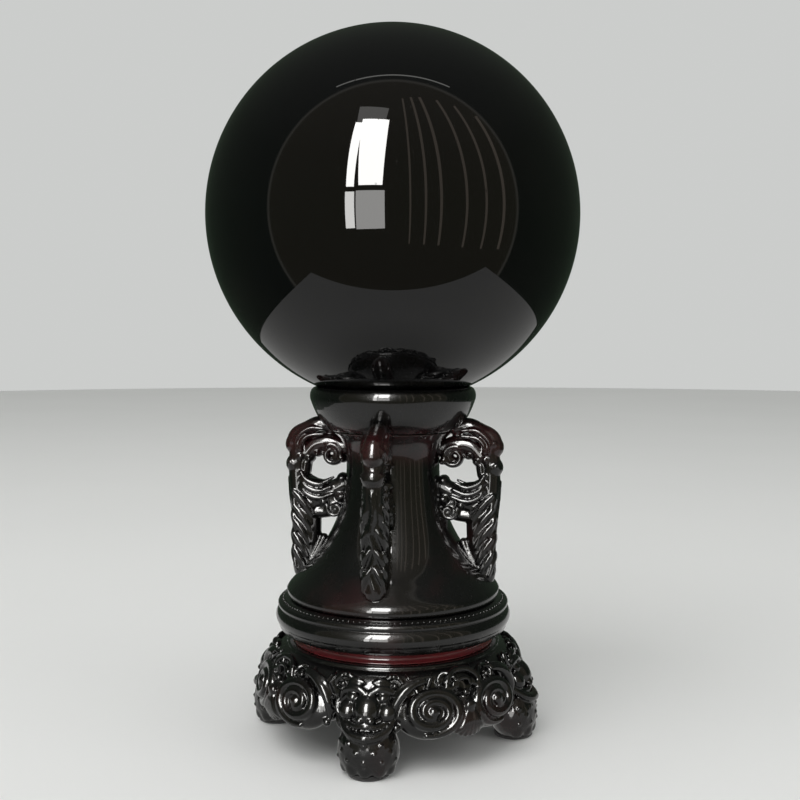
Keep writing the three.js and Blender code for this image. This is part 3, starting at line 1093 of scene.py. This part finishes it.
@dataclass
class Bracket(Carving):
    """One openwork scroll bracket, given by radius and height in its own upright plane."""

    stem: str = "bracket"
    face: float = 2.35

    def flat(self, clay: Clay, line: Sequence[Pair], width: Width, depth: float) -> None:
        """Lays a rope in the bracket's own plane, centred on its thickness."""
        clay.rope([(p.x, 0, p.y) for p in smooth_line(line)], width, depth, sides=14)

    def on_faces(self, clay: Clay, line: Sequence[Pair], width: Width, stand: float) -> None:
        """Lays the same thin rope on both faces of the bracket."""
        for hand in (-1, 1):
            clay.rope([(p.x, hand * stand, p.y) for p in smooth_line(line, 5)], width, sides=8)

    def knobs(self, clay: Clay, spots: Sequence[tuple[float, float, float, float, float]]) -> None:
        """Presses in lumps, by radius, height and half their depth, thickness and height."""
        for radius, height, deep, thick, tall in spots:
            clay.bead((radius, 0, height), (deep, thick, tall))

    def arch(self, clay: Clay) -> None:
        """Shapes the outer stem, the shoulder with its root under the cup, and the web below.

        Args:
            clay: The lump that they are pressed into.
        """
        lower = [(20.4, 34.6), (20.2, 39), (20.3, 44), (20.9, 49)]
        upper = [(21.4, 53.5), (21.5, 57.5), (21.3, 61), (21.6, 63.4)]
        self.flat(clay, lower + upper, leaf(2.25, 2.05), 1.08)
        over = [(22.4, 62.2), (21.6, 64.6), (19.2, 66), (16.6, 67.2), (13.6, 66.6)]
        self.flat(clay, over, taper(1.9, 1.6), 1.12)
        self.knobs(clay, ((22.4, 62.6, 1.9, 2.2, 2.3), (22.1, 58.2, 2.1, 2.45, 2.2)))
        self.flat(clay, [(10.8, 62.0), (14.0, 63.1), (17.4, 62.6), (19.6, 60.4)], taper(1.8, 2.1), 0.95)
        self.flat(clay, [(19.4, 58.6), (19.7, 56.4)], even(1.2), 1.7)

    def curl(self, clay: Clay) -> None:
        """Shapes the hanging curl under the arch, with the knobs round it.

        Args:
            clay: The lump that they are pressed into.
        """
        path = [(across, 0, up) for across, up in spiral((13.5, 60.4), 60, 560, 1.8, 0.6, 30)]
        clay.rope(path, taper(0.95, 0.6), 2.3, sides=12)
        for radius, height, size in ((16.7, 60.6, 0.9), (18.5, 59.4, 1.0), (11.0, 59.3, 0.8)):
            clay.bead((radius, 0, height), (size, 2.5, size))

    def crossing(self, clay: Clay) -> None:
        """Shapes the body that crosses to the neck, its crescent leaves and its small volutes.

        Args:
            clay: The lump that they are pressed into.
        """
        self.flat(clay, [(20.5, 53), (17.2, 52.7), (13.8, 52.5), (10.8, 53.9)], taper(2.4, 2.0), 0.98)
        self.flat(clay, [(18.8, 49.6), (15.4, 50.2), (12.2, 49.2)], taper(2.2, 1.6), 1.1)
        for drop in (0, 1.5, 3.0):
            start = (14 - drop * 0.3, 54.9 - drop)
            line = [start, (16.4, 53.9 - drop), (19, 54.8 - drop), (20.3, 56.6 - drop)]
            self.on_faces(clay, line, leaf(0.35, 0.62), self.face)
        self.knobs(clay, ((15.2, 50.0, 1.3, 3.0, 1.2), (12.2, 48.3, 1.7, 2.6, 1.6)))
        self.knobs(clay, ((11.3, 55.2, 1.3, 2.3, 1.2), (11.4, 51.2, 1.5, 2.7, 1.3)))
        volute = spiral((12.6, 48.6), 20, -420, 1.5, 0.35, 20)
        for hand in (-1, 1):
            clay.rope([(across, hand * 2.3, up) for across, up in volute], taper(0.5, 0.35), sides=8)

    def tail(self, clay: Clay) -> None:
        """Shapes the feathered tail that stands on the skirt.

        Args:
            clay: The lump that they are pressed into.
        """
        self.flat(clay, [(19.2, 48.5), (18.9, 44.5), (19.0, 40.5), (19.6, 36.6)], taper(2.9, 2.3), 0.95)
        self.flat(clay, [(15.6, 41.8), (16.9, 39.2), (18.6, 36.4)], taper(0.9, 1.6), 1.5)
        self.flat(clay, [(17.4, 47.6), (14.4, 47.9), (12.4, 48.6)], taper(1.7, 1.5), 1.3)
        for feather in range(5):
            height = 51.2 - 3.1 * feather
            reach = 4.6 - 0.4 * feather
            line = [(22.2, height + 1.2), (22.2 - reach * 0.5, height - 1.0), (22.2 - reach, height - 4.2)]
            self.on_faces(clay, line, leaf(0.35, 0.85), 2.25)

    def outer_edge(self, clay: Clay) -> None:
        """Winds a stem down the outer edge, with leaves on both sides of it.

        Args:
            clay: The lump that they are pressed into.
        """
        lower = [(22.3, 0.4, 35.4), (22.2, -0.5, 39), (22.3, 0.4, 43)]
        upper = [(22.7, -0.4, 47), (23.1, 0.2, 51), (23.4, 0, 55)]
        clay.rope(smooth_line(lower + upper), even(0.5), facing=facing_out)
        for hand in (-1, 1):
            for top in (53.2, 48.6, 44.2, 40.2):
                tip = (21.4, 2.4 * hand, top - 5.2)
                blade = [(22.4, 0.3 * hand, top), (22.2, 1.5 * hand, top - 1.9), tip]
                clay.rope(smooth_line(blade), leaf(0.3, 0.7), facing=facing_out)

    def shoulder(self, clay: Clay) -> None:
        """Lays ridges over the shoulder, and buds on its faces.

        Args:
            clay: The lump that they are pressed into.
        """
        for row in (0, 1):
            inner = [(15.2, 66.2 - row * 1.2), (18.6, 66.2 - row * 1.6)]
            line = [*inner, (21.2 - row, 64 - row), (21.2 - row, 61.4)]
            self.on_faces(clay, line, leaf(0.35, 0.6), self.face)
        for radius, height in ((22.3, 63.4), (22.7, 58.6), (20.4, 60.0)):
            for hand in (-1, 1):
                clay.bead((radius, hand * 1.8, height), (0.8, 0.8, 0.8), fine=2)

    def shape(self) -> bpy.types.Mesh:
        """Fuses the bracket from its parts.

        Returns:
            The bracket, in millimetres.
        """
        clay = Clay()
        for part in (self.arch, self.curl, self.crossing, self.tail, self.outer_edge, self.shoulder):
            part(clay)
        return clay.fused(self.grain, self.smoothing)


@dataclass
class Leg(Carving):
    """One leg, a beast mask over a paw."""

    stem: str = "leg"
    grain: float = 0.18
    foot_radius: float = 26.6
    paw_rise: float = 4.1
    paw_half: Triple = (5.2, 6.3, 6.3)
    toe_half: Triple = (1.5, 1.7, 2.2)
    stud_half: Triple = (0.42, 0.5, 0.42)
    stud_rows: tuple[float, ...] = (-1.0, 0.6, 2.2, 3.8)
    mask_shift: float = -0.9
    lean_from: float = 10
    lean: float = 0.34

    def paw(self, clay: Clay, floor: float) -> None:
        """Shapes the round paw with its low toes and rows of studs.

        Args:
            clay: The lump that it is pressed into.
            floor: Height of its sole.
        """
        middle = Vector((self.foot_radius, 0, floor + self.paw_rise))
        deep, wide, tall = self.paw_half
        clay.bead(middle, self.paw_half)
        for angle in range(-74, 75, 37):
            turn = math.radians(angle)
            toe = Vector((3.5 * math.cos(turn), 4.3 * math.sin(turn), -2.6))
            clay.bead(middle + toe, self.toe_half, angle)
        for row, rise in enumerate(self.stud_rows):
            girth = math.sqrt(1 - (rise / tall) ** 2) * 0.98
            for angle in range(-70 + 20 * (row % 2), 71, 35):
                turn = math.radians(angle)
                stud = Vector((deep * girth * math.cos(turn), wide * girth * math.sin(turn), rise))
                clay.bead(middle + stud, self.stud_half, angle, fine=2)

    def half_mask(self, clay: Clay) -> None:
        """Shapes the +Y half of the beast mask.

        Args:
            clay: The lump that it is pressed into.
        """
        cheek = ((29.6, 3.9, 13.2), (1.7, 2.0, 1.8))
        eye = ((29.9, 3.0, 15.7), (1.2, 1.3, 1.0))
        nostril = ((31.6, 1.1, 12.0), (0.9, 0.9, 0.7))
        temple = ((26.8, 4.9, 16.3), (1.3, 1.3, 1.5))
        for centre, half in (cheek, eye, nostril, temple):
            clay.bead(centre, half)
        brow = [(30.7, 0.5, 16.6), (30.5, 2.3, 17.4), (29.4, 4.4, 16.8), (28.2, 5.6, 15.4)]
        lip = [(31.2, 0, 10.9), (30.8, 1.9, 10.6), (29.7, 3.7, 11.1)]
        jaw = [(32.0, 0, 8.7), (31.5, 2.1, 8.9), (30.2, 3.9, 9.7), (28.4, 5.2, 11.4)]
        crest = [(30.5, 0.9, 18.4), (30.1, 2.6, 18.7), (29.5, 4.1, 18.1)]
        beard = [(27.4, 5.9, 12.1), (27.6, 6.0, 10.5), (27.2, 5.2, 9.0), (26.6, 4.2, 8.2)]
        clay.rope(smooth_line(brow), taper(0.7, 0.85), facing=facing_out)
        clay.rope(smooth_line(lip), taper(0.7, 0.5), facing=facing_out)
        clay.rope(smooth_line(jaw), taper(1.1, 0.75), facing=facing_out)
        clay.rope(smooth_line(crest), leaf(0.4, 0.7), facing=facing_out)
        clay.rope(smooth_line(beard), leaf(0.4, 0.75), facing=facing_out)
        steps = 25
        winding = spiral((0, 13.6), -100, 460, 1.75, 0.4, steps)
        curl = enumerate(winding)
        ear = [(27.9 + 0.4 * step / steps, 5.2 + 0.75 * across, up) for step, (across, up) in curl]
        clay.rope(ear, taper(0.7, 0.5), facing=lambda point: Vector((0.8, 0.6, 0)))

    def shape(self) -> bpy.types.Mesh:
        """Fuses the leg, with its mask leaning back and its sole cut flat.

        Returns:
            The leg, in millimetres.
        """
        low = box_mm("leg_right")[0]
        clay = Clay()
        self.half_mask(clay)
        clay.mirrored()
        head = ((25.7, 0, 13.3), (4.5, 5.6, 5.2))
        muzzle = ((27.3, 0, 11.9), (3.0, 4.4, 3.6))
        snout = ((30.1, 0, 13.8), (2.5, 2.7, 2.9))
        for centre, half in (head, muzzle, snout):
            clay.bead(centre, half)
        for across in (-1.3, 0, 1.3):
            tuft = [(30.2, across, 8.0), (29.9, across * 1.25, 7.2), (30.1, across * 1.4, 6.4)]
            clay.rope(tuft, taper(0.65, 0.4), facing=facing_out)
        inwards = Matrix.Translation((self.mask_shift, 0, 0))
        bmesh.ops.transform(clay.mesh, matrix=inwards, verts=clay.mesh.verts)
        clay.lean_back(self.lean_from, self.lean)
        clay.block((low.x, -4.5, 8.4), (24.5, 4.5, 12.0))
        self.paw(clay, low.z)
        return clay.fused(self.grain, self.smoothing, low.z)


@dataclass
class Apron(Carving):
    """One apron with its pair of spiral scrolls."""

    stem: str = "apron"
    places: type[Spot] = Corner
    spread: float = 15.5
    lean: float = 18
    face: float = 28.8
    eye_height: float = 12.9
    half_width: float = 7.1
    half_height: float = 5.3
    bulge: float = 3.0
    backing_radius: float = 24.2
    backing_height: float = 10.6

    def on_scroll(self, hand: int, across: float, up: float, lift: float = 0) -> Vector:
        """A point on one scroll's leaning, bulging face.

        Args:
            hand: Which of the two scrolls, -1 or 1.
            across: Share of the half width, positive away from the other scroll.
            up: Share of the half height.
            lift: How far the point stands out of the face, in millimetres.

        Returns:
            The point.
        """
        lean = math.radians(self.lean)
        out = self.bulge * (math.sqrt(max(0.0, 1 - 0.94 * (across**2 + up**2))) - 1) + lift
        rise = up * self.half_height
        radius = self.face + out * math.cos(lean) - rise * math.sin(lean)
        height = self.eye_height + rise * math.cos(lean) + out * math.sin(lean)
        turn = Matrix.Rotation(math.radians(hand * self.spread), 3, "Z")
        return turn @ Vector((radius, hand * across * self.half_width, height))

    def scroll(self, clay: Clay, hand: int) -> None:
        """Shapes one scroll with its winding ridge, eye and outer knobs.

        Args:
            clay: The lump that it is pressed into.
            hand: Which of the two scrolls, -1 or 1.
        """
        half = (self.bulge, self.half_width, self.half_height)
        turn = hand * self.spread
        clay.bead(self.on_scroll(hand, 0, 0, -self.bulge), half, turn, fine=4, lean=self.lean)
        winding = spiral((0, 0), -105, 740, 0.66, 0.2, 84)
        ridge = [self.on_scroll(hand, -across, up, 0.2) for across, up in winding]
        clay.rope(ridge, swell(0.5, 1.15, 0.7), facing=facing_out)
        clay.bead(self.on_scroll(hand, 0, 0), (1.2, 1.3, 1.2), turn)
        knobs = ((1.0, 0.5, 0.95), (1.08, 0.05, 1.05), (1.0, -0.45, 0.9), (0.72, 0.88, 0.9))
        for across, up, size in knobs:
            clay.bead(self.on_scroll(hand, across, up, 0.3), (size, size, size), fine=2)

    def shell(self, clay: Clay) -> None:
        """Shapes the fan of ribs between the scrolls, and the arch over it.

        Args:
            clay: The lump that it is pressed into.
        """
        clay.bead(polar(0, 26.6, 11.2), (2.9, 3.2, 4.2))
        for step in range(-3, 4):
            foot = polar(step * 2.1, 29.0, 7.4 + 0.13 * step * step)
            rib = [polar(step * 0.4, 29.5, 12.6), polar(step * 1.3, 30.0, 9.8), foot]
            clay.rope(smooth_line(rib), taper(0.35, 0.62), facing=facing_out)
        clay.bead(polar(0, 29.3, 13.4), (0.9, 1.3, 1.1))
        clay.bead(polar(0, 27.8, 15.6), (0.9, 0.9, 0.8))
        arch = [(0, 19.3), (4, 19.1), (7.4, 18.0), (8.2, 16.6), (5.6, 16.4), (4.8, 17.3)]
        inner = [(0, 17.9), (2.6, 17.6), (3.4, 16.5)]
        for hand in (-1, 1):
            for knots, lift, width in ((arch, 0.45, taper(0.75, 0.45)), (inner, 0.5, taper(0.5, 0.4))):
                line = smooth_line([DOME.at(hand * angle, height, lift) for angle, height in knots])
                clay.rope(line, width, facing=facing_out)

    def tendril(self, clay: Clay, hand: int) -> None:
        """Shapes the leaves that run from a scroll over to the leg beside it.

        Args:
            clay: The lump that they are pressed into.
            hand: Which of the two scrolls, -1 or 1.
        """
        run = [(18, 26.6, 18.4), (23, 26.9, 17.9), (28, 27.5, 16.2), (31.2, 27.8, 13.6), (31.6, 27.4, 10.8)]
        rib = [(14, 26.0, 19.1), (21, 26.3, 18.9), (28, 26.9, 17.6), (32, 27.3, 15.4)]
        for knots, width in ((run, leaf(0.55, 1.0)), (rib, leaf(0.3, 0.6))):
            line = smooth_line([polar(hand * angle, radius, height) for angle, radius, height in knots])
            clay.rope(line, width, facing=facing_out)

    def shape(self) -> bpy.types.Mesh:
        """Fuses the apron from its backing, shell, scrolls and leaves.

        Returns:
            The apron, in millimetres.
        """
        clay = Clay()
        backing = [polar(angle, self.backing_radius, self.backing_height) for angle in range(-27, 28, 3)]
        clay.rope(backing, even(2.0), facing=facing_out, sides=14)
        self.shell(clay)
        for hand in (-1, 1):
            self.scroll(clay, hand)
            self.tendril(clay, hand)
        return clay.fused(self.grain, self.smoothing)


@dataclass
class FootPads:
    """The felt discs under the paws."""

    softened: float = 0.25
    facets: int = 64

    def build(self) -> None:
        """Cuts the four discs and softens their edges."""
        low, high = box_mm("foot_pad_right")
        radius = (high.x - low.x) / 2
        disc = {"segments": self.facets, "radius1": radius, "radius2": radius, "depth": high.z - low.z}
        softening = {"offset": self.softened, "segments": 3, "affect": "EDGES"}
        for side in Side:
            shape = bmesh.new()
            place = side.turn @ Matrix.Translation((low + high) / 2)
            bmesh.ops.create_cone(shape, cap_ends=True, matrix=place, **disc)
            rims = [edge for edge in shape.edges if edge.calc_face_angle() > 1]
            bmesh.ops.bevel(shape, geom=rims, profile=0.5, material=-1, **softening)
            node = f"foot_pad_{side.label}"
            set_in_place(f"{node}_felt", mesh_of(shape), BLACK_FELT, [node])


@dataclass
class Fasteners:
    """Rod, insert, washer, nut, pins and screws, which keep the frame's own shapes."""

    bare: tuple[str, ...] = ("tie_rod", "rod_", "bracket_pin", "leg_screw")
    brass: tuple[str, ...] = ("rod_insert", "leg_screw")

    def build(self) -> None:
        """Dresses every fastener in bare metal."""
        for name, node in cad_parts.items():
            if name.startswith(self.bare):
                metal = BRASS if name.startswith(self.brass) else STEEL
                node.data.materials.clear()
                node.data.materials.append(metal.made())
                LOG.info("%s: %s", name, metal.name)


# ---------------------------------------------------------------- studio


@dataclass
class Studio:
    """Pale floor, soft light, a dim room that shows only in gloss, and the camera. In metres."""

    distance: float = 0.2304
    height: float = 0.0862
    azimuth: float = 10.5
    pitch: float = 3.4
    swing: float = 0.38
    lens: float = 47.5
    floor_radius: float = 1.6
    wall: float = 1.0
    wall_colour: Colour = (0.6, 0.61, 0.6, 1)
    table_front: float = 0.121
    table_back: float = 0.25
    table_left: float = 0.15
    table_right: float = 0.19
    daylight: Triple = (1, 0.99, 0.97)
    cloth: Triple = (1, 0.84, 0.72)
    room_stops: Stops = (
        (0.0, (0, 0, 0, 1)),
        (0.195, (0, 0, 0, 1)),
        (0.22, (0.30, 0.28, 0.25, 1)),
        (0.245, (0.075, 0.058, 0.037, 1)),
        (1.0, (0.078, 0.060, 0.038, 1)),
    )
    gloss_stops: Stops = (
        (0.0, (0.03, 0.035, 0.03, 1)),
        (0.5, (0.03, 0.045, 0.03, 1)),
        (0.75, (0.04, 0.05, 0.038, 1)),
        (1.0, (0.08, 0.085, 0.078, 1)),
    )

    @property
    def middle(self) -> Vector:
        """The ball's centre."""
        low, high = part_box("ball")
        return low.lerp(high, 0.5)

    def toward(self, bearing: float, rise: float = 0, reach: float = 1) -> Vector:
        """A step away from the ball.

        Args:
            bearing: Degrees to the right of the camera.
            rise: Degrees above the level.
            reach: The step's length.

        Returns:
            The step.
        """
        turn = math.radians(self.azimuth + bearing)
        tilt = math.radians(rise)
        level = reach * math.cos(tilt)
        return Vector((level * math.sin(turn), -level * math.cos(turn), reach * math.sin(tilt)))

    def build(self) -> None:
        """Sets up the whole studio."""
        bpy.context.scene.view_settings.view_transform = "Standard"
        self.floor()
        self.table()
        self.window()
        self.curtain()
        self.soft_lights()
        self.surroundings()
        self.camera()

    def lay(self, name: str, shape: bmesh.types.BMesh, finish: Finish, unseen_by: Sequence[str]) -> None:
        """Lays a flat sheet that isn't part of the object.

        Args:
            name: The sheet's name.
            shape: Its one face.
            finish: Its material.
            unseen_by: The kinds of ray that it doesn't show to.
        """
        mesh = mesh_of(shape)
        mesh.materials.append(finish.made())
        sheet = bpy.data.objects.new(name, mesh)
        bpy.context.scene.collection.objects.link(sheet)
        for ray in unseen_by:
            setattr(sheet, f"visible_{ray}", False)

    def floor(self) -> None:
        """Lays a large pale floor."""
        shape = bmesh.new()
        bmesh.ops.create_circle(shape, cap_ends=True, segments=128, radius=self.floor_radius)
        self.lay("floor", shape, PaleFloor(), ("glossy",))

    def table(self) -> None:
        """Lays a glowing sheet just under the floor that paints the table top's reflection, with painted
        shade round the feet, in polished surfaces.
        """
        turn = Matrix.Rotation(math.radians(self.azimuth), 4, "Z")
        left, right, front, back = -self.table_left, self.table_right, -self.table_front, self.table_back
        shape = bmesh.new()
        outline = ((left, front), (right, front), (right, back), (left, back))
        shape.faces.new([shape.verts.new(turn @ Vector((x, y, -MM))) for x, y in outline])
        self.lay("table_sheen", shape, TableSheen(), ("camera", "diffuse", "shadow"))

    def panel(self, name: str, spot: Vector, size: Pair, glow: float, tint: Triple, in_gloss: bool) -> None:
        """Hangs one rectangular light that faces the ball.

        Args:
            name: The light's name.
            spot: Its place.
            size: Its width and height.
            glow: How bright its face is, where 1 is as bright as white paper.
            tint: Its colour.
            in_gloss: Whether it shows in polished surfaces, or else lights the plain ones.
        """
        light = bpy.data.lights.new(name, "AREA")
        light.shape = "RECTANGLE"
        light.size, light.size_y = size
        light.energy = glow * math.pi * size[0] * size[1]
        light.color = tint
        lamp = bpy.data.objects.new(name, light)
        lamp.rotation_euler = (self.middle - spot).to_track_quat("-Z", "Y").to_euler()
        lamp.location = spot
        lamp.visible_camera = False
        lamp.visible_diffuse = not in_gloss
        lamp.visible_glossy = in_gloss
        bpy.context.scene.collection.objects.link(lamp)

    def pane(self, name: str, low: Pair, high: Pair, glow: float, tint: Triple) -> None:
        """Hangs one upright pane in the wall behind the camera.

        Args:
            name: The pane's name.
            low: Its lower left corner, to the right of the camera and above the ball's centre.
            high: Its upper right corner.
            glow: How bright it is.
            tint: Its colour.
        """
        spot = self.middle + self.toward(0) * self.wall + self.toward(90) * (low[0] + high[0]) / 2
        spot.z += (low[1] + high[1]) / 2
        self.panel(name, spot, (high[0] - low[0], high[1] - low[1]), glow, tint, True)

    def window(self) -> None:
        """Glazes the window: a narrow and a wide light, each with a low, a tall and a top pane."""
        columns = ((-0.50, -0.40, 12), (-0.37, -0.08, 5))
        for column, (left, right, low_glow) in enumerate(columns):
            rows = ((-0.22, 0.16, low_glow), (0.20, 1.02, 21), (1.07, 1.14, 16))
            for row, (low, high, glow) in enumerate(rows):
                self.pane(f"window_{column}_{row}", (left, low), (right, high), glow, self.daylight)
        self.pane("window_glow", (-0.50, 1.18), (-0.08, 1.5), 1.2, self.daylight)

    def curtain(self) -> None:
        """Hangs a few dim folds of curtain to the right of the window, taller as they come nearer."""
        folds = ((0.16, 0.02), (0.32, 0.028), (0.50, 0.035), (0.9, 0.04), (1.4, 0.05), (2.3, 0.09))
        for index, (left, width) in enumerate(folds):
            taller = 1 + 0.35 * left
            low, high = -0.55 * taller, 1.3 * taller
            self.pane(f"curtain_{index}", (left, low), (left + width, high), 0.5, self.cloth)

    def soft_lights(self) -> None:
        """Hangs the soft panels for every plain surface, and the lit edge of the ceiling for gloss."""
        self.panel("key", self.middle + self.toward(-35, 50, 1.1), (0.9, 0.9), 3.0, WHITE, False)
        self.panel("fill", self.middle + self.toward(60, 30, 1.3), (0.9, 0.7), 1.2, WHITE, False)
        ceiling = self.middle + self.toward(0, 79.5, 0.8)
        self.panel("ceiling_edge", ceiling, (0.7, 0.012), 1.6, (1, 1, 0.96), True)

    def graded(self, nodes: Nodes, axis: Vector, low: float, stops: Stops) -> Signal:
        """Colour that changes with how far a direction points along an axis.

        Args:
            nodes: The world's nodes.
            axis: The axis, of length 1.
            low: Share of the axis at the first stop; the last stop is at 1.
            stops: Places between 0 and 1 with their colours.

        Returns:
            The colour.
        """
        direction = nodes.add("TexCoord", output="Generated")
        share = nodes.add("VectorMath", {"operation": "DOT_PRODUCT"}, {0: direction, 1: axis}, "Value")
        spread = nodes.add("MapRange", sockets={"Value": share, "From Min": low})
        return nodes.add("ValToRGB", {"stops": stops}, {"Fac": spread})

    def surroundings(self) -> None:
        """Gives the world a pale backdrop, and a dim room that shows only in gloss."""
        world = bpy.data.worlds.new("studio")
        bpy.context.scene.world = world
        world.use_nodes = True
        nodes = Nodes(world.node_tree)
        all_round = self.graded(nodes, Vector((0, 0, 1)), -1, self.gloss_stops)
        in_front = self.graded(nodes, self.toward(0), 0, self.room_stops)
        room = nodes.mixed(1.0, all_round, in_front, "ADD")
        in_gloss = nodes.add("LightPath", output="Is Glossy Ray")
        backdrop = nodes.mixed(in_gloss, self.wall_colour, room)
        nodes.feed(world.node_tree.nodes["Background"], {"Color": backdrop})

    def camera(self) -> None:
        """Places the camera in front of the ball, a little to its right."""
        lens = bpy.data.cameras.new("camera")
        lens.lens = self.lens
        lens.sensor_width = 36
        lens.clip_start = 0.01
        camera = bpy.data.objects.new("camera", lens)
        turn = math.radians(self.azimuth)
        camera.location = (self.distance * math.sin(turn), -self.distance * math.cos(turn), self.height)
        camera.rotation_euler = (math.radians(90 - self.pitch), 0, math.radians(self.azimuth - self.swing))
        bpy.context.scene.collection.objects.link(camera)
        bpy.context.scene.camera = camera


def main() -> None:
    """Builds the object from the ball down, then the studio round it."""
    logging.basicConfig(level=logging.INFO, format="%(name)s %(message)s")
    parts = [
        Ball(),
        SeatRing(),
        CupRim(),
        Column(),
        Bracket(),
        RingMoulding(),
        WaistRing(),
        BaseCrown(),
        Apron(),
        Leg(),
        FootPads(),
        Fasteners(),
        Studio(),
    ]
    for part in parts:
        LOG.info("building %s", type(part).__name__)
        part.build()


if __name__ == "__main__":
    main()
